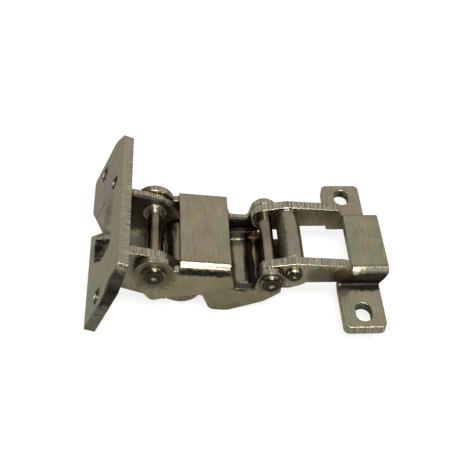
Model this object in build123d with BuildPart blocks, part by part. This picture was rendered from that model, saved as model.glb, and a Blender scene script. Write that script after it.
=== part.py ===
"""Washing machine door hinge: four folded sheet parts on four riveted pins.

Frame: X runs along the hinge, Y along the pins, Z up. The origin lies midway between the two screw
slots of the foot bracket, on the underside of its feet. The hinge is modelled nearly straight, as it
opens: it folds by swinging the outer link up about pin B. Sizes are in millimetres.
"""

import math
import os

from build123d import *

os.makedirs("parts", exist_ok=True)

# Sheet thicknesses
bracket_sheet = 3.0
outer_sheet = 2.2
inner_sheet = 1.9

# Fits
running_gap = 0.05  # radial gap of a pin in a bore that turns on it
fixed_gap = 0.02  # radial gap of a pin in a bore it is riveted into
side_gap = 0.2  # between the sides of neighbouring sheets
head_gap = 0.1  # under a rivet head and beside a washer

# Pivot axes in the XZ plane: reaches run left from the slots, heights up from the feet
pin_b_reach = 26.8
pin_b_height = 6.8
pin_c_reach = 19.9
pin_c_height = 7.8
link_span = 34.53  # from pin A to pin B
link_slope = 6.65  # fall of the outer link from pin A to pin B, in degrees
pin_d_right = 7.6  # from pin A
pin_d_drop = 8.8

# Pins and their rivet heads
pin_a_radius = 2.05
pin_b_radius = 2.1
pin_c_radius = 1.7
pin_d_radius = 1.7
head_a_radius = 3.6
head_b_radius = 3.5
head_c_radius = 2.5
head_height = 1.6
head_crown = 0.9
dimple_radius = 0.8

# Half widths across the pins
arm_half_width = 13.2
clear_half_width = arm_half_width - bracket_sheet
link_inner_half = arm_half_width + side_gap
link_half_width = link_inner_half + outer_sheet
washer_thickness = 0.6
inner_half_width = clear_half_width - washer_thickness - 2 * head_gap
pin_a_washer_radius = 3.5
pin_c_washer_radius = 3.9
pin_d_washer_radius = 3.6

# Foot bracket: hat section with two feet and two arms
slot_spacing = 48.0
slot_width = 4.8
slot_length = 6.8
foot_end = 5.6  # from a slot's centre to the end of the foot
foot_half_width = 6.2
foot_corner = 1.8
hat_height = 8.0
hat_left = -2.0
hat_right = 9.0
hat_lip = 1.2  # height of the square edge at the right end of the walls
hat_bend = 0.9  # inside radius of the web's bends
foot_bend = 0.8
arm_top_at_c = 12.1
arm_top_at_hat = 10.7
arm_bottom = 3.9
arm_shoulder = 1.4
shoulder_round = 2.5
lobe_b_radius = 4.15
lobe_c_radius = 5.0
lobe_c_drop = 0.7
lobe_c_slope = 3.5  # length over which lobe C runs into the straight lower edge

# Outer link: positions along the line from pin A to pin B, levels above that line
web_start = 7.2
web_end_gap = 12.6  # from the end of the web to pin B
web_top = 5.0
web_bend = 0.4
web_leg = 0.1  # straight part of the fold below the bend
lobe_a_radius = 5.9
lobe_a_shoulder = 20.0  # where the upper edge leaves the lobe, in degrees
dip_level = -3.7
dip_start_gap = 10.3  # from pin B
dip_end_gap = 4.5
flank_along = -4.0
flank_level = -6.5
skirt_along = 0.2
skirt_level = -11.7
skirt_end_along = 4.6
skirt_end_level = -9.8
crest_along = 15.0
crest_level = -7.5
hump_start = 18.0
hump_length = 5.4
hump_level = -14.0
tail_gap = 0.9
tail_level = -8.8
nose_overhang = 4.7  # beyond pin B
nose_level = -3.2

# Inner link: one curled strip that hooks under pin B, with a flange bent up along each edge
inner_floor = 3.05  # depth of the strip's underside below the feet
inner_step_height = 0.8
inner_step_length = 2.4
inner_step_gap = 4.4  # from the step to pin B
hook_radius = 3.4
flange_left_gap = 8.0  # from pin D to the left end of the flanges
flange_right_gap = 0.9  # from pin B
flange_height = 2.5  # above the strip
flange_lean = 1.9  # by which the ends of the flanges slope
flange_bend = 1.6  # outside radius
loose_play = 0.95  # how far pin D wanders in its eye over the whole fold
eye_gap = 0.3

# Door bracket: screw plate, end web, floor and two cheeks; depth is measured behind the plate's face
plate_reach = 19.6  # from pin A to the plate's lower edge
plate_drop = 6.7
plate_tilt = 24.0
plate_height = 26.4
plate_half_length = 30.2
plate_shoulder_height = 19.0
plate_shoulder_inset = 4.2
plate_corner = 1.2
outer_hole_height = 9.6
outer_hole_edge = 5.4  # from a hole's centre to the end of the plate
outer_hole_radius = 2.6
inner_hole_height = 19.5
inner_hole_offset = 11.4
inner_hole_radius = 2.3
wedge_far = 16.0  # mouth of the wedge on the lower edge, on the far side of the middle
wedge_bottom = 9.0
wedge_near = 6.0
wedge_depth = 3.5
wedge_top = 11.0  # upper end of the wedge, on the near side of the middle
wedge_height = 20.5
ridge_width = 1.1  # between the wedge and the pocket
ridge_corner = 1.2
pocket_start = 5.5  # along the ridge
pocket_end = 25.0
pocket_depth = 2.4
pocket_top = 18.8
pocket_near = 13.2
pocket_waist = 11.0
pocket_foot = 8.4
pocket_lip = 4.4
end_web = 2.4
channel_top_at_plate = 17.2
channel_bend = 1.0
floor_depth = 23.0
cheek_lobe_a = 4.9
cheek_lobe_d = 6.4
flank_inset = 2.0  # lower corner of the cheek, left of the lowest point of lobe D
flank_rise = 0.4
pin_chamfer = 0.3

# Places that follow from these sizes
slope = math.radians(link_slope)
link_line = Vector(math.cos(slope), 0, -math.sin(slope))
pivot_b = Vector(-pin_b_reach, 0, pin_b_height)
pivot_c = Vector(-pin_c_reach, 0, pin_c_height)
pivot_a = pivot_b - link_line * link_span
pivot_d = pivot_a + Vector(pin_d_right, 0, -pin_d_drop)
plate_foot = pivot_a - Vector(plate_reach, 0, plate_drop)
foot_half_length = slot_spacing / 2 + foot_end
outer_hole_offset = plate_half_length - outer_hole_edge


def side_plane(origin, direction=Vector(1, 0, 0)):
    """Sketch plane seen from the near side, with its first axis along direction."""
    return Plane(origin=origin, x_dir=direction, z_dir=(0, -1, 0))


def in_plane(plane, point):
    """A point of the XZ plane in the first two coordinates of a side plane."""
    local = plane.to_local_coords(point)
    return Vector(local.X, local.Y)


def soften(sketch, corners):
    """Round the outline of a sketch at the given corners, each with its own radius."""
    for point, radius in corners:
        nearest = sketch.vertices().sort_by(
            lambda vertex: math.dist((vertex.X, vertex.Y), (point.X, point.Y))
        )
        fillet(nearest[0], radius)


def tangent_band(centre_1, radius_1, centre_2, radius_2):
    """Corners of the straight band that joins two circles along their outer tangents."""
    span = centre_2 - centre_1
    along = math.atan2(span.Y, span.X)
    lean = math.acos((radius_1 - radius_2) / span.length)
    corners = []
    for side in (1, -1):
        direction = Vector(math.cos(along + side * lean), math.sin(along + side * lean))
        ends = [centre_1 + direction * radius_1, centre_2 + direction * radius_2]
        corners += ends if side == 1 else ends[::-1]
    return corners


def rivet(axis, radius, head_radius, grip):
    """Rivet with a low crowned head on both ends, dimpled where it was spun over."""
    end = grip + head_gap
    top = end + head_height
    with BuildPart() as pin:
        with BuildSketch(side_plane(axis)):
            Circle(radius)
        extrude(amount=end, both=True)
        with BuildSketch(Plane(origin=axis, x_dir=(1, 0, 0), z_dir=(0, 0, 1))):
            with BuildLine():
                seat = Line((0, end), (head_radius, end))
                rim = Line(seat @ 1, (head_radius, top - head_crown))
                crown = ThreePointArc(
                    rim @ 1,
                    (0.75 * head_radius, top - 0.25 * head_crown),
                    (dimple_radius, top),
                )
                dimple = Line(crown @ 1, (0, top - head_crown / 2))
                Line(dimple @ 1, seat @ 0)
            make_face()
        revolve(axis=Axis(axis, (0, 1, 0)))
        mirror(about=Plane.XZ)
    return pin.part


def plain_pin(axis, radius, half_length):
    """Headless pin, chamfered at its ends."""
    with BuildPart() as pin:
        with BuildSketch(side_plane(axis)):
            Circle(radius)
        extrude(amount=half_length, both=True)
        chamfer(pin.edges().filter_by(GeomType.CIRCLE), pin_chamfer)
    return pin.part


def washer(axis, bore_radius, outer_radius, start):
    """Flat washer whose near face is at y = start and which grows towards +Y."""
    with BuildPart() as ring:
        with BuildSketch(side_plane(axis + Vector(0, start, 0))):
            Circle(outer_radius)
            Circle(bore_radius, mode=Mode.SUBTRACT)
        extrude(amount=-washer_thickness)
    return ring.part


def save(part, name):
    part.label = name
    export_step(part, f"parts/{name}.step")


# Foot bracket
with BuildPart() as foot_bracket:
    # Hat section across the hinge, bent from one strip
    with BuildSketch(Plane.YZ.offset(-foot_half_width)) as hat_section:
        on_base = (Align.CENTER, Align.MIN)
        Rectangle(2 * arm_half_width, hat_height, align=on_base)
        Rectangle(2 * foot_half_length, bracket_sheet, align=on_base)
        Rectangle(2 * clear_half_width, hat_height - bracket_sheet, align=on_base, mode=Mode.SUBTRACT)
        for corner_y, corner_z, radius in (
            (arm_half_width, hat_height, hat_bend + bracket_sheet),
            (clear_half_width, hat_height - bracket_sheet, hat_bend),
            (arm_half_width, bracket_sheet, foot_bend),
            (clear_half_width, 0, foot_bend + bracket_sheet),
        ):
            corners = hat_section.vertices().filter_by(
                lambda vertex: math.dist((abs(vertex.X), vertex.Y), (corner_y, corner_z)) < 0.01
            )
            fillet(corners, radius)
    extrude(amount=foot_half_width + hat_right)
    # The web starts further right than the feet
    with BuildSketch(Plane.XY.offset(bracket_sheet + foot_bend)):
        with Locations((-foot_half_width, 0)):
            Rectangle(2 * (foot_half_width + hat_left), 2 * arm_half_width)
    extrude(amount=hat_height, mode=Mode.SUBTRACT)
    # The walls narrow from the web down to the feet
    with BuildSketch(side_plane((0, 0, 0))):
        with BuildLine():
            Polyline(
                (foot_half_width, 0),
                (foot_half_width, bracket_sheet),
                (hat_right, hat_height - hat_lip),
                (2 * hat_right, hat_height - hat_lip),
                (2 * hat_right, 0),
                close=True,
            )
        make_face()
    extrude(amount=foot_half_length, both=True, mode=Mode.SUBTRACT)
    # Two arms in the planes of the walls, lobed round pins B and C
    for side in (1, -1):
        wall_middle = side * (arm_half_width - bracket_sheet / 2)
        with BuildSketch(side_plane((0, wall_middle, 0))) as arm_outline:
            lobe_b = Vector(pivot_b.X, pivot_b.Z)
            lobe_c = Vector(pivot_c.X, pivot_c.Z - lobe_c_drop)
            shoulder = Vector(hat_left - arm_shoulder, arm_top_at_hat)
            with BuildLine():
                Polyline(
                    (lobe_c.X, arm_top_at_c),
                    shoulder,
                    (hat_left, hat_height - hat_bend),
                    (hat_left, bracket_sheet),
                    (-foot_half_width, bracket_sheet),
                    (-foot_half_width, arm_bottom),
                    (lobe_c.X + lobe_c_slope, arm_bottom),
                    (lobe_c.X, lobe_c.Y - lobe_c_radius),
                    close=True,
                )
            make_face()
            soften(arm_outline, ((shoulder, shoulder_round),))
            with BuildLine():
                Polyline(*tangent_band(lobe_b, lobe_b_radius, lobe_c, lobe_c_radius), close=True)
            make_face()
            with Locations(lobe_b):
                Circle(lobe_b_radius)
            with Locations(lobe_c):
                Circle(lobe_c_radius)
        extrude(amount=bracket_sheet / 2, both=True)
    for axis, radius in ((pivot_b, pin_b_radius), (pivot_c, pin_c_radius)):
        with BuildSketch(side_plane(axis)):
            Circle(radius + fixed_gap)
        extrude(amount=2 * arm_half_width, both=True, mode=Mode.SUBTRACT)
    # Screw slots and rounded corners of the feet
    with BuildSketch(Plane.XY):
        with Locations((0, slot_spacing / 2), (0, -slot_spacing / 2)):
            SlotOverall(slot_length, slot_width, rotation=90)
    extrude(amount=bracket_sheet, mode=Mode.SUBTRACT)
    foot_corners = foot_bracket.edges().filter_by(Axis.Z).filter_by(
        lambda edge: abs(edge.center().Y) > foot_half_length - 0.01
    )
    fillet(foot_corners, foot_corner)

# Outer link, drawn along the line from pin A to pin B
link_plane = side_plane(pivot_a, link_line)
web_end = link_span - web_end_gap
bend_level = web_top - outer_sheet - web_bend - web_leg
with BuildPart() as outer_link:
    with BuildSketch(link_plane) as cheek_outline:
        dip_left = Vector(link_span - dip_start_gap, dip_level)
        dip_right = Vector(link_span - dip_end_gap, dip_level)
        nose = Vector(link_span + nose_overhang, nose_level)
        tail = Vector(link_span - tail_gap, tail_level)
        hump_right = Vector(hump_start + hump_length, hump_level)
        hump_left = Vector(hump_start, hump_level)
        crest = Vector(crest_along, crest_level)
        skirt_end = Vector(skirt_end_along, skirt_end_level)
        skirt = Vector(skirt_along, skirt_level)
        flank = Vector(flank_along, flank_level)
        with BuildLine():
            Polyline(
                (0, 0),
                Vector(lobe_a_radius, 0).rotate(Axis.Z, lobe_a_shoulder),
                (web_start, bend_level),
                (web_end, bend_level),
                dip_left,
                dip_right,
                (link_span - lobe_b_radius, 0),
                (link_span, 0),
                nose,
                tail,
                hump_right,
                hump_left,
                crest,
                skirt_end,
                skirt,
                flank,
                (-lobe_a_radius, 0),
                close=True,
            )
        make_face()
        soften(
            cheek_outline,
            (
                (dip_left, 1.0),
                (dip_right, 1.5),
                (nose, 2.0),
                (tail, 8.0),
                (hump_right, 4.5),
                (hump_left, 3.0),
                (crest, 1.3),
                (skirt_end, 2.0),
                (skirt, 1.8),
                (flank, 6.0),
            ),
        )
        Circle(lobe_a_radius)
        with Locations((link_span, 0)):
            Circle(lobe_b_radius)
    extrude(amount=link_half_width, both=True)
    # Space between the two cheeks
    with BuildSketch(link_plane):
        Rectangle(4 * link_span, 4 * link_span)
    extrude(amount=link_inner_half, both=True, mode=Mode.SUBTRACT)
    # Web with its two bends
    with BuildSketch(Plane(pivot_a + link_line * web_start, x_dir=(0, 1, 0), z_dir=link_line)):
        with BuildLine():
            FilletPolyline(
                (-link_inner_half, bend_level),
                (-link_inner_half, web_top - outer_sheet),
                (link_inner_half, web_top - outer_sheet),
                (link_inner_half, bend_level),
                radius=web_bend,
            )
            offset(amount=outer_sheet, side=Side.LEFT)
        make_face()
    extrude(amount=web_end - web_start)
    with BuildSketch(link_plane):
        Circle(pin_a_radius + running_gap)
        with Locations((link_span, 0)):
            Circle(pin_b_radius + running_gap)
    extrude(amount=2 * link_half_width, both=True, mode=Mode.SUBTRACT)

# Inner link: a strip curled round pin C, down past pin B and back to a loose eye round pin D.
# Between the arms and the door bracket it is wider, and its edges are bent up as flanges
eye_c_radius = pin_c_radius + running_gap + inner_sheet
eye_d_bore = pin_d_radius + loose_play + eye_gap
eye_d_radius = eye_d_bore + inner_sheet
neck_x = pivot_c.X + eye_c_radius - inner_sheet / 2
strip_z = inner_sheet / 2 - inner_floor
strip_left_z = strip_z - inner_step_height
step_x = pivot_b.X - inner_step_gap
eye_d_floor = pivot_d.Z - eye_d_radius + inner_sheet / 2
flange_outside = clear_half_width + inner_sheet
flange_top = strip_z + inner_sheet / 2 + flange_height
with BuildPart() as inner_link:
    with BuildSketch(side_plane((0, 0, 0))) as strip_profile:
        with BuildLine():
            FilletPolyline(
                (neck_x, pivot_c.Z),
                (neck_x, strip_z),
                (step_x, strip_z),
                (step_x - inner_step_length, strip_left_z),
                (pivot_d.X + eye_d_radius, strip_left_z),
                (pivot_d.X, eye_d_floor),
                radius=hook_radius,
            )
        trace(line_width=inner_sheet)
        with Locations((pivot_c.X, pivot_c.Z)):
            Circle(eye_c_radius)
        with Locations((pivot_d.X, pivot_d.Z)):
            Circle(eye_d_radius)
        with Locations((pivot_c.X, pivot_c.Z)):
            Circle(pin_c_radius + running_gap, mode=Mode.SUBTRACT)
        with Locations((pivot_d.X, pivot_d.Z)):
            Circle(eye_d_bore, mode=Mode.SUBTRACT)
    extrude(amount=inner_half_width, both=True)
    flange_left = pivot_d.X + flange_left_gap
    flange_right = pivot_b.X - flange_right_gap
    flange_middle = (flange_left + flange_right) / 2
    with BuildSketch(side_plane((0, 0, 0))):
        add(strip_profile.sketch)
        with Locations((flange_middle, strip_z)):
            Rectangle(flange_right - flange_left, 2 * inner_sheet + inner_step_height, mode=Mode.INTERSECT)
    extrude(amount=flange_outside, both=True)
    for side in (1, -1):
        with BuildSketch(side_plane((0, side * (flange_outside - inner_sheet / 2), 0))):
            with BuildLine():
                Polyline(
                    (flange_left, strip_left_z),
                    (flange_left, strip_left_z + inner_sheet / 2),
                    (flange_left + flange_lean, flange_top),
                    (flange_right - flange_lean, flange_top),
                    (flange_right, strip_z + inner_sheet / 2),
                    (flange_right, strip_z),
                    close=True,
                )
            make_face()
        extrude(amount=inner_sheet / 2, both=True)
    flange_bends = inner_link.edges().filter_by(
        lambda edge: abs(abs(edge.center().Y) - flange_outside) < 0.01
        and edge.center().Z < strip_z
        and flange_left + 0.01 < edge.center().X < flange_right - 0.01
    )
    fillet(flange_bends, flange_bend)

# Door bracket, drawn in the frame of its screw plate
tilt = math.radians(plate_tilt)
plate_up = Vector(math.sin(tilt), 0, math.cos(tilt))
plate_back = Vector(math.cos(tilt), 0, -math.sin(tilt))
plate_plane = Plane(origin=plate_foot, x_dir=(0, -1, 0), z_dir=-plate_back)
channel_plane = side_plane(plate_foot, plate_back)
bracket_a = in_plane(channel_plane, pivot_a)
bracket_d = in_plane(channel_plane, pivot_d)
with BuildPart() as door_bracket:
    # Screw plate with two sloped shoulders
    with BuildSketch(plate_plane) as plate_outline:
        with BuildLine():
            shoulder_x = plate_half_length - plate_shoulder_inset
            Polyline(
                (-plate_half_length, 0),
                (plate_half_length, 0),
                (plate_half_length, plate_shoulder_height),
                (shoulder_x, plate_height),
                (-shoulder_x, plate_height),
                (-plate_half_length, plate_shoulder_height),
                close=True,
            )
        make_face()
        fillet(plate_outline.vertices(), plate_corner)
        with Locations((-outer_hole_offset, outer_hole_height), (outer_hole_offset, outer_hole_height)):
            Circle(outer_hole_radius, mode=Mode.SUBTRACT)
        with Locations((-inner_hole_offset, inner_hole_height)):
            Circle(inner_hole_radius, mode=Mode.SUBTRACT)
    extrude(amount=-bracket_sheet)
    # Cheeks: channel sides behind the plate that end in lobes round pins A and D
    with BuildSketch(channel_plane):
        with BuildLine():
            Polyline(
                (bracket_sheet, 0),
                (floor_depth, 0),
                bracket_d - Vector(flank_inset, cheek_lobe_d - flank_rise),
                bracket_d,
                (bracket_a.X, bracket_a.Y + cheek_lobe_a),
                (bracket_sheet, channel_top_at_plate),
                close=True,
            )
        make_face()
        with BuildLine():
            Polyline(*tangent_band(bracket_a, cheek_lobe_a, bracket_d, cheek_lobe_d), close=True)
        make_face()
        with Locations(bracket_a):
            Circle(cheek_lobe_a)
        with Locations(bracket_d):
            Circle(cheek_lobe_d)
    extrude(amount=arm_half_width, both=True)
    # Space between the cheeks, behind the end web and above the floor
    with BuildSketch(channel_plane):
        with BuildLine():
            Polyline(
                (bracket_sheet + end_web, bracket_sheet),
                (floor_depth, bracket_sheet),
                (floor_depth, -plate_height),
                (2 * plate_half_length, -plate_height),
                (2 * plate_half_length, 2 * plate_height),
                (bracket_sheet + end_web, 2 * plate_height),
                close=True,
            )
        make_face()
    extrude(amount=clear_half_width, both=True, mode=Mode.SUBTRACT)
    # Rounded folds along the lower corners of the channel
    fold_radius = bracket_sheet + channel_bend
    with BuildSketch(Plane(plate_foot + plate_back * bracket_sheet, x_dir=(0, 1, 0), z_dir=plate_back)):
        Rectangle(3 * arm_half_width, fold_radius, align=(Align.CENTER, Align.MIN))
        with Locations((0, plate_height / 2)):
            RectangleRounded(2 * arm_half_width, plate_height, fold_radius, mode=Mode.SUBTRACT)
    extrude(amount=plate_half_length, mode=Mode.SUBTRACT)
    # Pressed wedge that deepens towards the lower edge
    ridge_start = Vector(-wedge_near, 0)
    ridge_end = Vector(wedge_top, wedge_height)
    wedge_plane = Plane(plate_foot, x_dir=(0, -1, 0), z_dir=plate_up)
    with BuildSketch(wedge_plane) as wedge_mouth:
        with BuildLine():
            Polyline((-wedge_far, 0), (-wedge_bottom, wedge_depth), (-wedge_near, 0), close=True)
        make_face()
    apex = plate_plane.from_local_coords(ridge_end)
    loft(sections=[wedge_mouth.sketch.face(), Vertex(*apex)], mode=Mode.SUBTRACT)
    # Rounded corner of the plate between the wedge and the lower edge
    with BuildSketch(plate_plane):
        with Locations(ridge_start + Vector(ridge_corner / 2, ridge_corner / 2)):
            Rectangle(ridge_corner, ridge_corner)
        with Locations(ridge_start + Vector(ridge_corner, ridge_corner)):
            Circle(ridge_corner, mode=Mode.SUBTRACT)
    extrude(amount=-wedge_depth, mode=Mode.SUBTRACT)
    # Pocket pressed in beside the wedge, behind a ridge and a lip
    ridge = (ridge_end - ridge_start).normalized()
    pocket_side = ridge_start + Vector(ridge.Y, -ridge.X) * ridge_width
    far_bottom = pocket_side + ridge * pocket_start
    near_top = Vector(pocket_near, pocket_top)
    near_waist = Vector(pocket_near, pocket_waist)
    near_foot = Vector(pocket_foot, pocket_lip)
    with BuildSketch(plate_plane) as pocket:
        with BuildLine():
            Polyline(
                far_bottom,
                pocket_side + ridge * pocket_end,
                near_top,
                near_waist,
                near_foot,
                close=True,
            )
        make_face()
        soften(pocket, ((far_bottom, 1.0), (near_top, 1.5), (near_waist, 2.5), (near_foot, 2.5)))
    extrude(amount=-pocket_depth, mode=Mode.SUBTRACT)
    with BuildSketch(channel_plane):
        with Locations(bracket_a):
            Circle(pin_a_radius + fixed_gap)
        with Locations(bracket_d):
            Circle(pin_d_radius + fixed_gap)
    extrude(amount=2 * arm_half_width, both=True, mode=Mode.SUBTRACT)

for part_name, sheet_part in (
    ("foot_bracket", foot_bracket.part),
    ("outer_link", outer_link.part),
    ("inner_link", inner_link.part),
    ("door_bracket", door_bracket.part),
):
    save(sheet_part, part_name)

# Pins
save(rivet(pivot_a, pin_a_radius, head_a_radius, link_half_width), "pivot_pin_a")
save(rivet(pivot_b, pin_b_radius, head_b_radius, link_half_width), "pivot_pin_b")
save(rivet(pivot_c, pin_c_radius, head_c_radius, arm_half_width - head_gap), "pivot_pin_c")
save(plain_pin(pivot_d, pin_d_radius, arm_half_width), "pivot_pin_d")

# Washers beside the cheeks and arms, inside them
washer_start = clear_half_width - head_gap - washer_thickness
for letter, axis, bore, radius in (
    ("a", pivot_a, pin_a_radius + fixed_gap, pin_a_washer_radius),
    ("c", pivot_c, pin_c_radius + fixed_gap, pin_c_washer_radius),
    ("d", pivot_d, pin_d_radius + fixed_gap, pin_d_washer_radius),
):
    save(washer(axis, bore, radius, washer_start), f"pin_{letter}_washer_far")
    save(washer(axis, bore, radius, -clear_half_width + head_gap), f"pin_{letter}_washer_near")
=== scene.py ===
"""Looks of the washing machine door hinge: zinc plated steel on a pale floor, in soft light."""

import math

import bpy
from mathutils import Matrix, Vector


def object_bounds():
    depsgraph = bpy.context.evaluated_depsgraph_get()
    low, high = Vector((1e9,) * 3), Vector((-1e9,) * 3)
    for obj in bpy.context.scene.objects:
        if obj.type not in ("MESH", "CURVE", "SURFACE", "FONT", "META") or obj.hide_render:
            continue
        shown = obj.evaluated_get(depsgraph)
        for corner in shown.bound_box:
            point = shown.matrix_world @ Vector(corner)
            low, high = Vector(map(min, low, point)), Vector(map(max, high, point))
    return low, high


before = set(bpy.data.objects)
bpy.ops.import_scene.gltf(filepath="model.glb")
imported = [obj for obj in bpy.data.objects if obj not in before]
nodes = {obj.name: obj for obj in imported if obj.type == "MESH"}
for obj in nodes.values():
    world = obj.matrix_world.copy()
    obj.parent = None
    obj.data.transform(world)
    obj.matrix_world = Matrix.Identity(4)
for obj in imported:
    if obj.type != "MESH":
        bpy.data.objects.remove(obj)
cad_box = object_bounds()

scene = bpy.context.scene

# Colours of worn, cut and soiled steel, and of painted shade and painted light

rubbed_zinc = (0.78, 0.77, 0.70)
rubbed_rivet = (0.75, 0.73, 0.66)
sheared_steel = (0.60, 0.56, 0.43)
bright_speck_colour = (0.98, 0.97, 0.92)
# painted warm reflection
painted_warm_reflection = (0.42, 0.25, 0.14)
# painted shade for the bands across the strip
painted_shade_band_colour = (0.010, 0.010, 0.008)
# soil, and painted shade laid as dark patches
soil_and_painted_shade = (0.028, 0.026, 0.022)
# painted shade in the inner corners of sheets and rivets
default_painted_corner_shade = (0.035, 0.033, 0.028)
greenish_painted_corner_shade = (0.028, 0.036, 0.032)
rivet_painted_corner_shade = (0.03, 0.028, 0.024)

# How far wear, cuts and bright specks show, from 0 to 1, and how dull soil, painted shade and bright specks
# are

sheet_wear, rivet_wear = 0.55, 0.3
cut_depth, speck_depth = 0.8, 0.95
shade_and_soil_roughness, speck_roughness = 0.5, 0.32

# Rounding of the edges, reach of the painted shade in corners, and strength and height of the relief, in
# metres

sheet_edge_radius, rivet_edge_radius = 0.00045, 0.0002
sheet_shade_reach, rivet_shade_reach = 0.010, 0.005
sheet_relief, rivet_relief = (0.13, 0.00003), (0.3, 0.00004)


# Node helpers

def add_node(tree, kind, **settings):
    node = tree.nodes.new(kind)
    for name, value in settings.items():
        setattr(node, name, value)
    return node


def feed(tree, socket, value):
    """Set a socket to a number, a colour or a vector, or link it to another node's output."""
    if isinstance(value, (int, float)):
        socket.default_value = value
    elif isinstance(value, tuple):
        socket.default_value = (*value, 1.0) if socket.type == "RGBA" else value
    else:
        tree.links.new(value, socket)


def maths(tree, operation, first, second=None):
    node = add_node(tree, "ShaderNodeMath", operation=operation)
    feed(tree, node.inputs[0], first)
    if second is not None:
        feed(tree, node.inputs[1], second)
    return node.outputs[0]


def vector_maths(tree, operation, first, second=None):
    node = add_node(tree, "ShaderNodeVectorMath", operation=operation)
    feed(tree, node.inputs[0], first)
    if second is not None:
        feed(tree, node.inputs["Scale" if operation == "SCALE" else 1], second)
    return node.outputs["Value" if operation in ("DOT_PRODUCT", "LENGTH") else "Vector"]


def remap(tree, value, low, high, to_low=0.0, to_high=1.0, interpolation="LINEAR"):
    node = add_node(tree, "ShaderNodeMapRange", interpolation_type=interpolation)
    feed(tree, node.inputs["Value"], value)
    ends = {"From Min": low, "From Max": high, "To Min": to_low, "To Max": to_high}
    for name, number in ends.items():
        node.inputs[name].default_value = number
    return node.outputs["Result"]


def vary(tree, pattern, low, high):
    """Bring a noise pattern from its usual span to the one between low and high."""
    return remap(tree, pattern, 0.3, 0.7, low, high)


# The Mix node's sockets go by number, because the ones of its data types share their names

def blend_colour(tree, factor, first, second, mode="MIX"):
    node = add_node(tree, "ShaderNodeMix", data_type="RGBA", blend_type=mode)
    for number, value in ((0, factor), (6, first), (7, second)):
        feed(tree, node.inputs[number], value)
    return node.outputs[2]


def blend_value(tree, factor, first, second):
    node = add_node(tree, "ShaderNodeMix", data_type="FLOAT")
    for number, value in ((0, factor), (2, first), (3, second)):
        feed(tree, node.inputs[number], value)
    return node.outputs[0]


def tint_of(tree, value, shares=(1.0, 1.0, 1.0)):
    """Colour whose red, green and blue are shares of one value."""
    node = add_node(tree, "ShaderNodeCombineColor")
    for channel, share in zip(("Red", "Green", "Blue"), shares):
        feed(tree, node.inputs[channel], maths(tree, "MULTIPLY", value, share))
    return node.outputs[0]


def colour_ramp(tree, value, stops):
    """Run through (position, colour) stops, where a single number stands for a grey."""
    node = add_node(tree, "ShaderNodeValToRGB")
    elements = node.color_ramp.elements
    elements[0].position = stops[0][0]
    elements[1].position = stops[-1][0]
    for position, _ in stops[1:-1]:
        elements.new(position)
    for element, (_, colour) in zip(elements, stops):
        element.color = (*colour, 1.0) if isinstance(colour, tuple) else (colour, colour, colour, 1.0)
    feed(tree, node.inputs["Fac"], value)
    return node.outputs["Color"]


def coordinates(tree, kind="Object"):
    return add_node(tree, "ShaderNodeTexCoord").outputs[kind]


def split_axes(tree, vector):
    node = add_node(tree, "ShaderNodeSeparateXYZ")
    feed(tree, node.inputs[0], vector)
    return node.outputs


def stretched(tree, vector, scale):
    node = add_node(tree, "ShaderNodeMapping")
    feed(tree, node.inputs["Vector"], vector)
    node.inputs["Scale"].default_value = scale
    return node.outputs["Vector"]


def noise(tree, vector, scale=1.0, detail=2.0, roughness=0.5):
    node = add_node(tree, "ShaderNodeTexNoise")
    feed(tree, node.inputs["Vector"], vector)
    node.inputs["Scale"].default_value = scale
    node.inputs["Detail"].default_value = detail
    node.inputs["Roughness"].default_value = roughness
    return node.outputs["Fac"]


FLOAT, COLOUR, VECTOR = "NodeSocketFloat", "NodeSocketColor", "NodeSocketVector"


def new_group(name, inputs, outputs):
    """Start a shader group, and give its tree, what comes in and where its results go."""
    tree = bpy.data.node_groups.new(name, "ShaderNodeTree")
    for label, kind, value in inputs:
        tree.interface.new_socket(label, in_out="INPUT", socket_type=kind).default_value = value
    for label, kind in outputs:
        tree.interface.new_socket(label, in_out="OUTPUT", socket_type=kind)
    return tree, tree.nodes.new("NodeGroupInput").outputs, tree.nodes.new("NodeGroupOutput").inputs


def use_group(tree, group, **values):
    """Place a group with its own values, and give its outputs."""
    node = add_node(tree, "ShaderNodeGroup", node_tree=group)
    for name, value in values.items():
        feed(tree, node.inputs[name.replace("_", " ")], value)
    return node.outputs


# Effects that several materials share

def rolled_grain_group():
    """Fine streaks of rolled sheet: across the hinge on folded faces, upright on the cheeks' sides."""
    tree, source, result = new_group(
        "rolled_grain",
        [("Fineness", FLOAT, 1.0)],
        [("Streaks", FLOAT), ("Blotches", FLOAT)],
    )
    place = vector_maths(tree, "SCALE", coordinates(tree), source["Fineness"])
    across = noise(tree, stretched(tree, place, (5200, 160, 2400)), detail=4.0, roughness=0.6)
    upright = noise(tree, stretched(tree, place, (3600, 900, 260)), detail=4.0, roughness=0.6)
    sideways = split_axes(tree, coordinates(tree, "Normal"))["Y"]
    side = remap(tree, maths(tree, "ABSOLUTE", sideways), 0.5, 0.8)
    feed(tree, result["Streaks"], blend_value(tree, side, across, upright))
    feed(tree, result["Blotches"], noise(tree, place, 170.0, 3.0, 0.6))
    return tree


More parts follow.
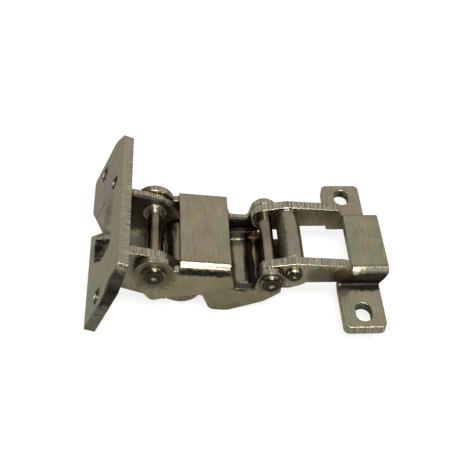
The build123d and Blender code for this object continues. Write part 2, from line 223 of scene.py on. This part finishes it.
def passivated_tint_group():
    """Olive grey zinc with faint green, yellow and pink films."""
    tree, source, result = new_group(
        "passivated_tint",
        [
            ("Base", COLOUR, (0.5, 0.5, 0.4, 1.0)),
            ("Film", FLOAT, 0.3),
            ("Blotches", FLOAT, 0.5),
            ("Streaks", FLOAT, 0.5),
        ],
        [("Colour", COLOUR)],
    )
    film = noise(tree, stretched(tree, coordinates(tree), (190, 80, 190)), detail=3.0)
    green, yellow, pink = (0.39, 0.57, 0.43), (0.60, 0.52, 0.32), (0.66, 0.44, 0.52)
    film_colour = colour_ramp(tree, film, ((0.30, green), (0.46, yellow), (0.72, pink)))
    tinted = blend_colour(tree, source["Film"], source["Base"], film_colour)
    streaked = remap(tree, source["Streaks"], 0.33, 0.67, 0.79, 1.15)
    shade = maths(tree, "MULTIPLY", streaked, vary(tree, source["Blotches"], 0.86, 1.08))
    feed(tree, result["Colour"], blend_colour(tree, 1.0, tinted, tint_of(tree, shade), "MULTIPLY"))
    return tree


def worn_edge_and_rim_light_group():
    """Rounded-edge normal, a mask of the rubbed edges, and a tone with a painted dark outline beside them and
    a painted highlight on them.
    """
    tree, source, result = new_group(
        "worn_edge_and_rim_light",
        [("Radius", FLOAT, 0.0004)],
        [("Normal", VECTOR), ("Mask", FLOAT), ("Tone", FLOAT)],
    )
    bevel = add_node(tree, "ShaderNodeBevel", samples=6)
    feed(tree, bevel.inputs["Radius"], source["Radius"])
    rounded = bevel.outputs["Normal"]
    flat = add_node(tree, "ShaderNodeNewGeometry").outputs["Normal"]
    mask = remap(tree, vector_maths(tree, "DOT_PRODUCT", rounded, flat), 0.995, 0.75)
    feed(tree, result["Normal"], rounded)
    feed(tree, result["Mask"], mask)
    # painted shade as a dark outline beside the edges, and a painted highlight on them
    painted_outline_and_rim_light = ((0.0, 1.0), (0.12, 0.62), (0.32, 0.75), (0.75, 1.25))
    feed(tree, result["Tone"], colour_ramp(tree, mask, painted_outline_and_rim_light))
    return tree


def turned_rings_group():
    """Concentric turning marks round a pin axis that runs along Y, and the rings of a spun rivet head with a
    painted glint in its dimple.
    """
    tree, source, result = new_group(
        "turned_rings",
        [("Axis X", FLOAT, 0.0), ("Axis Z", FLOAT, 0.0), ("Head Radius", FLOAT, 0.0035)],
        [("Rings", FLOAT), ("Spun Rings And Glint", FLOAT)],
    )
    place = split_axes(tree, coordinates(tree))
    right = maths(tree, "SUBTRACT", place["X"], source["Axis X"])
    up = maths(tree, "SUBTRACT", place["Z"], source["Axis Z"])
    squares = [maths(tree, "MULTIPLY", leg, leg) for leg in (right, up)]
    radius = maths(tree, "SQRT", maths(tree, "ADD", *squares))
    line = add_node(tree, "ShaderNodeCombineXYZ")
    feed(tree, line.inputs["X"], radius)
    feed(tree, line.inputs["Y"], place["Y"])
    feed(tree, result["Rings"], noise(tree, stretched(tree, line.outputs[0], (5200, 90, 1))))
    share = maths(tree, "DIVIDE", radius, source["Head Radius"])
    # a painted glint in the head's dimple, then dark and light rings
    painted_dimple_glint_and_rings = (
        (0.16, 2.6),
        (0.26, 0.06),
        (0.37, 0.38),
        (0.48, 0.08),
        (0.63, 0.46),
        (0.76, 0.10),
        (0.90, 1.15),
        (1.00, 0.95),
    )
    head = colour_ramp(tree, share, painted_dimple_glint_and_rings)
    sideways = split_axes(tree, coordinates(tree, "Normal"))["Y"]
    on_head = remap(tree, maths(tree, "ABSOLUTE", sideways), 0.25, 0.5)
    shank = 1.45
    feed(tree, result["Spun Rings And Glint"], blend_value(tree, on_head, shank, head))
    return tree


def painted_corner_shade_group():
    """Painted shade in the narrow inner corners, with less of it on faces that look up."""
    tree, source, result = new_group(
        "painted_corner_shade",
        [("Reach", FLOAT, 0.006), ("Depth", FLOAT, 0.6)],
        [("Shade", FLOAT)],
    )
    upward = split_axes(tree, coordinates(tree, "Normal"))["Z"]
    depth_by_facing = remap(tree, upward, 0.6, 0.90, 1.0, 0.35)
    occlusion = add_node(tree, "ShaderNodeAmbientOcclusion", samples=8)
    feed(tree, occlusion.inputs["Distance"], source["Reach"])
    open_share = remap(tree, occlusion.outputs["AO"], 0.22, 0.82)
    depth = maths(tree, "MULTIPLY", depth_by_facing, source["Depth"])
    lost = maths(tree, "MULTIPLY", maths(tree, "SUBTRACT", 1.0, open_share), depth)
    feed(tree, result["Shade"], maths(tree, "SUBTRACT", 1.0, lost))
    return tree


def cut_face_group():
    """Mask and cross striations of the sheared faces of a sheet that lies square to a direction."""
    tree, source, result = new_group(
        "cut_face",
        [
            ("Square To", VECTOR, (0.0, 1.0, 0.0)),
            ("From", FLOAT, 0.0),
            ("To", FLOAT, 0.001),
            ("Behind", VECTOR, (0.0, 0.0, 0.0)),
            ("Limit", FLOAT, -1.0),
        ],
        [("Mask", FLOAT), ("Striations", FLOAT)],
    )
    place = coordinates(tree)
    depth = vector_maths(tree, "DOT_PRODUCT", place, source["Square To"])
    facing = vector_maths(tree, "DOT_PRODUCT", coordinates(tree, "Normal"), source["Square To"])
    offset = maths(tree, "ABSOLUTE", depth)
    past_start = maths(tree, "GREATER_THAN", offset, source["From"])
    before_end = maths(tree, "LESS_THAN", offset, source["To"])
    edgewise = remap(tree, maths(tree, "ABSOLUTE", facing), 0.45, 0.25)
    mask = maths(tree, "MULTIPLY", maths(tree, "MULTIPLY", past_start, before_end), edgewise)
    distance_behind = vector_maths(tree, "DOT_PRODUCT", place, source["Behind"])
    beyond = maths(tree, "GREATER_THAN", distance_behind, source["Limit"])
    feed(tree, result["Mask"], maths(tree, "MULTIPLY", mask, beyond))
    squashed_depth = vector_maths(tree, "SCALE", source["Square To"], maths(tree, "MULTIPLY", depth, 0.93))
    along = vector_maths(tree, "SUBTRACT", place, squashed_depth)
    feed(tree, result["Striations"], noise(tree, along, 2900.0, 1.0))
    return tree


def painted_shade_band_group():
    """Mask of a band of painted shade that lies across the strip between two X positions."""
    tree, source, result = new_group(
        "painted_shade_band",
        [("From X", FLOAT, 0.0), ("To X", FLOAT, 0.001)],
        [("Mask", FLOAT)],
    )
    place = coordinates(tree)
    wander = vary(tree, noise(tree, stretched(tree, place, (500, 120, 1))), -0.0005, 0.0005)
    along = maths(tree, "ADD", split_axes(tree, place)["X"], wander)
    past_start = maths(tree, "SUBTRACT", along, source["From X"])
    before_end = maths(tree, "MULTIPLY", maths(tree, "SUBTRACT", along, source["To X"]), -1.0)
    sides = [remap(tree, distance, -0.0003, 0.0005) for distance in (past_start, before_end)]
    feed(tree, result["Mask"], maths(tree, "MULTIPLY", *sides))
    return tree


def ragged_patch_group():
    """Mask of a patch: an ellipsoid with a ragged rim."""
    tree, source, result = new_group(
        "ragged_patch",
        [("Centre", VECTOR, (0.0, 0.0, 0.0)), ("Inverse Size", VECTOR, (200.0, 200.0, 200.0))],
        [("Mask", FLOAT)],
    )
    place = coordinates(tree)
    offset = vector_maths(tree, "SUBTRACT", place, source["Centre"])
    reach = vector_maths(tree, "LENGTH", vector_maths(tree, "MULTIPLY", offset, source["Inverse Size"]))
    ragged = vary(tree, noise(tree, place, 700.0, 3.0, 0.6), -0.22, 0.22)
    feed(tree, result["Mask"], remap(tree, maths(tree, "ADD", reach, ragged), 1.15, 0.75))
    return tree


def bright_speck_mask_group():
    """Mask of small bright specks, kept inside another mask."""
    tree, source, result = new_group(
        "bright_speck_mask",
        [("Inside", FLOAT, 1.0)],
        [("Mask", FLOAT)],
    )
    specks = noise(tree, stretched(tree, coordinates(tree), (900, 1500, 500)))
    bright_specks = remap(tree, specks, 0.555, 0.60)
    feed(tree, result["Mask"], maths(tree, "MULTIPLY", bright_specks, source["Inside"]))
    return tree


rolled_grain = rolled_grain_group()
passivated_tint = passivated_tint_group()
worn_edge_and_rim_light = worn_edge_and_rim_light_group()
turned_rings = turned_rings_group()
painted_corner_shade = painted_corner_shade_group()
cut_face = cut_face_group()
painted_shade_band = painted_shade_band_group()
ragged_patch = ragged_patch_group()
bright_speck_mask = bright_speck_mask_group()


# Finishes

def new_material(name):
    material = bpy.data.materials.new(name)
    material.use_nodes = True
    return material, material.node_tree


def finish_metal(tree, colour, roughness, height, edge_normal, relief):
    """Bring a finish to the material's own shader, with a fine relief over the rounded edges."""
    shader = tree.nodes["Principled BSDF"]
    feed(tree, shader.inputs["Base Color"], colour)
    feed(tree, shader.inputs["Metallic"], 1.0)
    feed(tree, shader.inputs["Roughness"], roughness)
    bump = add_node(tree, "ShaderNodeBump")
    feed(tree, bump.inputs["Strength"], relief[0])
    feed(tree, bump.inputs["Distance"], relief[1])
    feed(tree, bump.inputs["Height"], height)
    feed(tree, bump.inputs["Normal"], edge_normal)
    feed(tree, shader.inputs["Normal"], bump.outputs["Normal"])


def patch_mask(tree, centre_mm, size_mm):
    centre_m = tuple(value / 1000 for value in centre_mm)
    inverse_size = tuple(1000 / value for value in size_mm)
    return use_group(tree, ragged_patch, Centre=centre_m, Inverse_Size=inverse_size)["Mask"]


def lay_over(tree, colour, roughness, mask, depth, spot_colour, spot_roughness):
    """Lay a spot over a finish, as deep as its mask and its depth say."""
    share = maths(tree, "MULTIPLY", mask, depth)
    return (
        blend_colour(tree, share, colour, spot_colour),
        blend_value(tree, share, roughness, spot_roughness),
    )


def cut_edge(square_to, start, end, behind=(0.0, 0.0, 0.0), limit=-1.0):
    """Where sheared faces lie: from start to end through the sheet, and past a limit toward behind."""
    return {"Square_To": square_to, "From": start, "To": end, "Behind": behind, "Limit": limit}


def plated_sheet(
    name,
    base,
    film,
    roughness,
    cuts=(),
    painted_shade_bands=(),
    shade_and_soil=(),
    stains=(),
    bright_specks=(),
    fineness=1.0,
    corner_shade_depth=0.85,
    corner_shade_colour=default_painted_corner_shade,
):
    """Zinc plated sheet with rolled grain, a passivation film and bright rubbed edges, with painted shade and
    painted light laid over them.

    Bands of painted shade are (from X, to X, depth) in metres. Soil and painted shade are (centre, size,
    depth), stains and painted light are (centre, size, depth, colour, roughness) and bright specks are
    (centre, size), with centres and sizes in millimetres.
    """
    material, tree = new_material(name)
    grain = use_group(tree, rolled_grain, Fineness=fineness)
    streaks, blotches = grain["Streaks"], grain["Blotches"]
    plated = use_group(tree, passivated_tint, Base=base, Film=film, Blotches=blotches, Streaks=streaks)
    edge = use_group(tree, worn_edge_and_rim_light, Radius=sheet_edge_radius)
    corners = use_group(tree, painted_corner_shade, Reach=sheet_shade_reach, Depth=corner_shade_depth)

    rubbed_share = maths(tree, "MULTIPLY", edge["Mask"], sheet_wear)
    colour = blend_colour(tree, rubbed_share, plated["Colour"], rubbed_zinc)
    # painted dark outline beside the edges and painted highlight on them
    colour = blend_colour(tree, 1.0, colour, tint_of(tree, edge["Tone"]), "MULTIPLY")
    height = streaks
    for sockets in cuts:
        cut = use_group(tree, cut_face, **sockets)
        bars = remap(tree, cut["Striations"], 0.38, 0.62, 0.50, 1.35)
        cut_share = maths(tree, "MULTIPLY", cut["Mask"], cut_depth)
        colour = blend_colour(tree, cut_share, colour, tint_of(tree, bars, sheared_steel))
        height = blend_value(tree, cut["Mask"], height, cut["Striations"])
    for start, end, depth in painted_shade_bands:
        band = use_group(tree, painted_shade_band, From_X=start, To_X=end)
        colour = blend_colour(tree, maths(tree, "MULTIPLY", band["Mask"], depth), colour, painted_shade_band_colour)

    streaked = vary(tree, streaks, roughness - 0.03, roughness + 0.05)
    rough = maths(tree, "ADD", streaked, vary(tree, blotches, -0.03, 0.04))
    # soil, and painted shade that darkens lit faces and dulls highlights
    for centre, size, depth in shade_and_soil:
        mask = patch_mask(tree, centre, size)
        colour, rough = lay_over(tree, colour, rough, mask, depth, soil_and_painted_shade, shade_and_soil_roughness)
    # painted shade in the inner corners
    colour = blend_colour(tree, corners["Shade"], corner_shade_colour, colour)
    for centre, size, depth, stain_colour, stain_roughness in stains:
        mask = patch_mask(tree, centre, size)
        colour, rough = lay_over(tree, colour, rough, mask, depth, stain_colour, stain_roughness)
    for centre, size in bright_specks:
        mask = use_group(tree, bright_speck_mask, Inside=patch_mask(tree, centre, size))["Mask"]
        colour, rough = lay_over(tree, colour, rough, mask, speck_depth, bright_speck_colour, speck_roughness)
    finish_metal(tree, colour, rough, height, edge["Normal"], sheet_relief)
    return material


def turned_steel(name, base, roughness, axis, head_radius):
    """Turned and plated steel of a rivet or washer round one pivot axis."""
    material, tree = new_material(name)
    turned = use_group(tree, turned_rings, Axis_X=axis[0], Axis_Z=axis[1], Head_Radius=head_radius)
    rings = turned["Rings"]
    edge = use_group(tree, worn_edge_and_rim_light, Radius=rivet_edge_radius)
    corners = use_group(tree, painted_corner_shade, Reach=rivet_shade_reach, Depth=0.7)
    tone = maths(tree, "MULTIPLY", vary(tree, rings, 0.55, 1.15), turned["Spun Rings And Glint"])
    rubbed_share = maths(tree, "MULTIPLY", edge["Mask"], rivet_wear)
    colour = blend_colour(tree, rubbed_share, tint_of(tree, tone, base), rubbed_rivet)
    # painted shade in the rivet's inner corners
    colour = blend_colour(tree, corners["Shade"], rivet_painted_corner_shade, colour)
    rough = vary(tree, rings, roughness - 0.06, roughness + 0.08)
    finish_metal(tree, colour, rough, rings, edge["Normal"], rivet_relief)
    return material


# The four folded sheets

def half_width(piece):
    """How far a piece reaches to the far side of the hinge's middle plane."""
    return max(corner[1] for corner in nodes[piece].bound_box)


# Directions that the sheets are square to, and where their sheared faces lie along them, in metres

hinge_width = (0.0, 1.0, 0.0)
hinge_height = (0.0, 0.0, 1.0)
toward_screw_plate = (-1.0, 0.0, 0.0)
plate_lean = math.radians(24.0)
plate_back = (math.cos(plate_lean), 0.0, -math.sin(plate_lean))
face_margin = 0.0001
cheek_inside = half_width("pin_a_washer_far")
cheek_outside = half_width("pivot_pin_d") + face_margin
link_outside = half_width("outer_link") + face_margin
plate_inner_face, plate_outer_face = 0.0723, 0.0754
foot_top = 0.0030 + face_margin
arm_root = 0.0019


def foot_bracket_zinc():
    return plated_sheet(
        "foot_bracket_zinc",
        base=(0.56, 0.51, 0.34),
        film=0.40,
        roughness=0.23,
        cuts=(
            cut_edge(hinge_height, -1.0, foot_top),
            cut_edge(hinge_width, cheek_inside, cheek_outside, toward_screw_plate, arm_root),
        ),
        shade_and_soil=(
            ((3.6, -13.4, 5.2), (9.5, 1.6, 2.8), 0.96),  # painted shade on the near wall of the hat
            ((3.6, 13.4, 5.2), (9.5, 1.6, 2.8), 0.8),  # far wall of the hat
            ((-4.6, -13.2, 6.4), (4.2, 1.0, 4.4), 0.85),  # near arm beside the hat
            ((-9.5, -13.2, 6.8), (7.0, 0.8, 4.0), 0.55),  # painted shade on the near arm farther on
            ((2.0, -14.0, 3.4), (9.5, 2.3, 1.5), 0.95),  # painted shade that dulls the highlight on the bend above the near foot
            ((6.2, -12.0, 7.1), (6.6, 1.8, 1.5), 0.85),  # painted shade that dulls the highlight higher on the near wall
        ),
    )


def door_bracket_zinc():
    # the first colour is a painted pool of light on the floor between the cheeks
    painted_light_pool, pink_film = (0.78, 0.80, 0.68), (0.50, 0.36, 0.44)
    green_film, tan_film = (0.40, 0.52, 0.36), (0.66, 0.55, 0.33)
    return plated_sheet(
        "door_bracket_zinc",
        base=(0.52, 0.48, 0.33),
        film=0.64,
        roughness=0.26,
        cuts=(
            cut_edge(plate_back, plate_inner_face, plate_outer_face),
            cut_edge(hinge_width, cheek_inside, cheek_outside, plate_back, face_margin - plate_inner_face),
        ),
        shade_and_soil=(
            ((-74.0, -30.3, 19.6), (4.6, 1.5, 5.6), 0.92),  # painted shade on the near end face of the plate, upper half
            ((-78.0, -30.3, 10.0), (6.0, 1.5, 9.0), 0.55),  # painted shade on the near end face of the plate, lower half
            ((-71.3, -28.6, 23.2), (6.0, 2.4, 4.6), 0.92),  # painted shade on the near upper corner of the plate
            ((-75.5, -4.5, 10.5), (5.0, 6.0, 6.0), 0.45),  # painted shade in the pocket
            ((-66.0, 10.3, 11.0), (12.0, 1.2, 10.0), 0.85),  # painted shade on the inner side of the far cheek
            ((-73.0, 2.0, 11.0), (3.0, 9.0, 10.0), 0.7),  # painted shade on the back of the plate between the cheeks
        ),
        stains=(
            ((-67.5, 6.8, 1.4), (5.2, 3.6, 2.4), 0.9, painted_light_pool, 0.5),  # painted pool of light on the floor between the cheeks
            ((-75.0, 17.0, 17.5), (6.0, 8.0, 7.0), 0.42, pink_film, 0.28),  # by the far holes
            ((-78.0, -22.0, 10.0), (5.0, 8.0, 8.0), 0.35, green_film, 0.28),  # near end of the plate
            ((-71.5, 4.0, 26.0), (4.0, 26.0, 3.6), 0.40, tan_film, 0.28),  # along the plate's top
        ),
        bright_specks=(((-75.5, -5.5, 12.0), (5.0, 6.5, 6.5)),),  # in the pocket
        corner_shade_depth=0.92,
        corner_shade_colour=greenish_painted_corner_shade,
    )


def outer_link_zinc():
    # painted shade in a stripe under the web's bend
    stripe_centres = ((-51.2, -15.9, 11.9), (-46.6, -15.9, 11.4), (-42.0, -15.9, 10.9))
    painted_shade_under_web = [(centre, (4.2, 0.7, 1.8), 0.93) for centre in stripe_centres]
    return plated_sheet(
        "outer_link_zinc",
        base=(0.56, 0.50, 0.32),
        film=0.40,
        roughness=0.22,
        cuts=(cut_edge(hinge_width, cheek_outside, link_outside),),
        shade_and_soil=(
            ((-61.1, -15.6, 10.8), (6.6, 1.0, 6.6), 0.6),  # round rivet A
            ((-26.8, -15.6, 6.8), (5.0, 1.0, 5.0), 0.5),  # round rivet B
            ((-34.7, -14.5, 4.0), (4.6, 1.7, 1.5), 0.85),  # near cheek's edge in the dip
            ((-38.0, -15.6, -2.0), (11.0, 1.0, 7.0), 0.2),  # near cheek's lower part
            *painted_shade_under_web,
            ((-51.0, 13.0, 4.0), (5.0, 1.2, 8.0), 0.8),  # painted shade on the inner side of the far cheek
            ((-33.5, 13.4, 2.6), (9.5, 0.9, 3.6), 0.85),  # painted shade on the inner side of the far cheek in the dip
        ),
    )


def inner_link_zinc():
    return plated_sheet(
        "inner_link_zinc",
        base=(0.47, 0.43, 0.30),
        film=0.25,
        roughness=0.22,
        # painted shade on the strip where the web and pin B shadow it
        painted_shade_bands=((-0.0400, -0.0362, 0.85), (-0.0332, -0.0300, 0.98), (-0.0298, -0.0270, 0.85)),
        shade_and_soil=(
            ((-37.0, 11.2, 0.2), (12.0, 1.9, 2.4), 0.88),  # painted shade on the far flange
            ((-23.0, 0.0, 10.2), (1.9, 14.0, 2.6), 0.7),  # painted shade on the upper left of the rolled end
        ),
        stains=(((-29.6, 10.3, -0.7), (1.7, 1.5, 1.7), 0.42, painted_warm_reflection, 0.6),),  # painted warm reflection on the far side by pin B
        fineness=1.3,
    )


def dress(piece, look):
    """Give a CAD node its material."""
    node = nodes[piece]
    node.data.materials.clear()
    node.data.materials.append(look)


dress("foot_bracket", foot_bracket_zinc())
dress("door_bracket", door_bracket_zinc())
dress("outer_link", outer_link_zinc())
dress("inner_link", inner_link_zinc())


# Rivets and washers

rivet_colour, rivet_roughness = (0.34, 0.30, 0.21), 0.22
washer_colour, washer_roughness = (0.55, 0.54, 0.48), 0.24
washer_ring_scale = 0.02  # so wide that a washer lies in the bright middle of the rings, where a rivet head has its painted glint
pins_with_washers = "acd"


def pin_axis(pin):
    """X and Z of a rivet's axis and the radius of its head, rounded because the mesh has facets."""
    spans = [sorted(corner[axis] for corner in pin.bound_box) for axis in (0, 2)]
    middle = [round((span[0] + span[-1]) / 2, 4) for span in spans]
    return middle, round((spans[0][-1] - spans[0][0]) / 2, 4)


for letter in "abcd":
    axis, head_radius = pin_axis(nodes[f"pivot_pin_{letter}"])
    look = turned_steel(f"pin_{letter}_steel", rivet_colour, rivet_roughness, axis, head_radius)
    dress(f"pivot_pin_{letter}", look)
    if letter not in pins_with_washers:
        continue
    look = turned_steel(
        f"pin_{letter}_washer_steel", washer_colour, washer_roughness, axis, washer_ring_scale
    )
    for side in ("far", "near"):
        dress(f"pin_{letter}_washer_{side}", look)


# Floor and backdrop

def paper_floor(low, high):
    """Paper that glows white to the camera, and has a colour near the hinge that takes the shadow."""
    floor_gap = 0.0006
    bpy.ops.mesh.primitive_plane_add(size=6.0, location=((low[0] + high[0]) / 2, 0, low[2] - floor_gap))
    floor = bpy.context.object
    floor.name = "floor"
    paper, tree = new_material("floor_paper")
    shader = tree.nodes["Principled BSDF"]
    shader.inputs["Roughness"].default_value = 0.9
    shader.inputs["Specular IOR Level"].default_value = 0.0
    fibre = noise(tree, coordinates(tree), 900.0, 3.0)
    near_paper = blend_colour(tree, fibre, (0.31, 0.31, 0.27), (0.34, 0.34, 0.30))
    away = remap(tree, vector_maths(tree, "LENGTH", coordinates(tree)), 0.15, 0.24)
    feed(tree, shader.inputs["Base Color"], blend_colour(tree, away, near_paper, (0.05, 0.05, 0.05)))
    seen = add_node(tree, "ShaderNodeLightPath").outputs["Is Camera Ray"]
    feed(tree, shader.inputs["Emission Color"], (1.0, 1.0, 1.0))
    glow = maths(tree, "ADD", maths(tree, "MULTIPLY", away, 0.2), 0.8)
    feed(tree, shader.inputs["Emission Strength"], maths(tree, "MULTIPLY", seen, glow))
    floor.data.materials.append(paper)


def studio_world():
    """White to the camera, and to the hinge a dim glow that is brighter from the far side."""
    world = bpy.data.worlds.new("studio")
    scene.world = world
    world.use_nodes = True
    tree = world.node_tree
    tree.nodes.clear()
    farward = split_axes(tree, coordinates(tree, "Generated"))["Y"]
    ambient = add_node(tree, "ShaderNodeBackground")
    feed(tree, ambient.inputs["Color"], (1.0, 0.99, 0.95))
    feed(tree, ambient.inputs["Strength"], remap(tree, farward, 0.05, 0.55, 0.04, 0.46, "SMOOTHSTEP"))
    white = add_node(tree, "ShaderNodeBackground")
    feed(tree, white.inputs["Color"], (1.0, 1.0, 1.0))
    chosen = add_node(tree, "ShaderNodeMixShader")
    feed(tree, chosen.inputs["Fac"], add_node(tree, "ShaderNodeLightPath").outputs["Is Camera Ray"])
    feed(tree, chosen.inputs[1], ambient.outputs[0])
    feed(tree, chosen.inputs[2], white.outputs[0])
    feed(tree, add_node(tree, "ShaderNodeOutputWorld").inputs["Surface"], chosen.outputs[0])


def softbox(name, place, aim, size, power):
    lamp = bpy.data.lights.new(name, "AREA")
    lamp.shape = "RECTANGLE"
    lamp.size, lamp.size_y = size
    lamp.energy = power
    body = bpy.data.objects.new(name, lamp)
    scene.collection.objects.link(body)
    body.location = place
    body.rotation_euler = (Vector(aim) - Vector(place)).to_track_quat("-Z", "Y").to_euler()


low, high = cad_box
paper_floor(low, high)
studio_world()
centre = ((low[0] + high[0]) / 2, 0.0, 0.01)
softbox("top_softbox", (0.0, -0.32, 0.80), centre, (0.55, 0.36), 6.5)
softbox("front_strip", (0.036, -0.69, 0.41), centre, (0.10, 0.50), 1.3)
softbox("right_card", (0.48, -0.38, 0.46), centre, (0.16, 0.16), 1.1)
softbox("left_strip", (-0.6, 0.05, 0.35), centre, (0.10, 0.5), 0.3)


# Camera, from the fitted view

def photo_camera(place, yaw, elevation, roll, lens):
    """Camera that looks along a yaw from Y and down by an elevation, with its angles in degrees."""
    yaw, elevation, roll = (math.radians(angle) for angle in (yaw, elevation, roll))
    ahead = Vector((math.sin(yaw), math.cos(yaw), 0.0)) * math.cos(elevation)
    forward = Vector((ahead.x, ahead.y, -math.sin(elevation)))
    level = Vector((math.cos(yaw), -math.sin(yaw), 0.0))
    down = forward.cross(level)
    right = level * math.cos(roll) + down * math.sin(roll)
    up = level * math.sin(roll) - down * math.cos(roll)
    data = bpy.data.cameras.new("photo_camera")
    data.lens = lens
    data.sensor_width = 36.0
    data.clip_start = 0.01
    body = bpy.data.objects.new("photo_camera", data)
    scene.collection.objects.link(body)
    turn = Matrix((right, up, -forward)).transposed()
    body.matrix_world = Matrix.Translation(place) @ turn.to_4x4()
    return body


scene.camera = photo_camera((-0.05528, -0.17575, 0.19699), yaw=5.99, elevation=46.5, roll=-3.94, lens=65.1)
scene.view_settings.view_transform = "Standard"
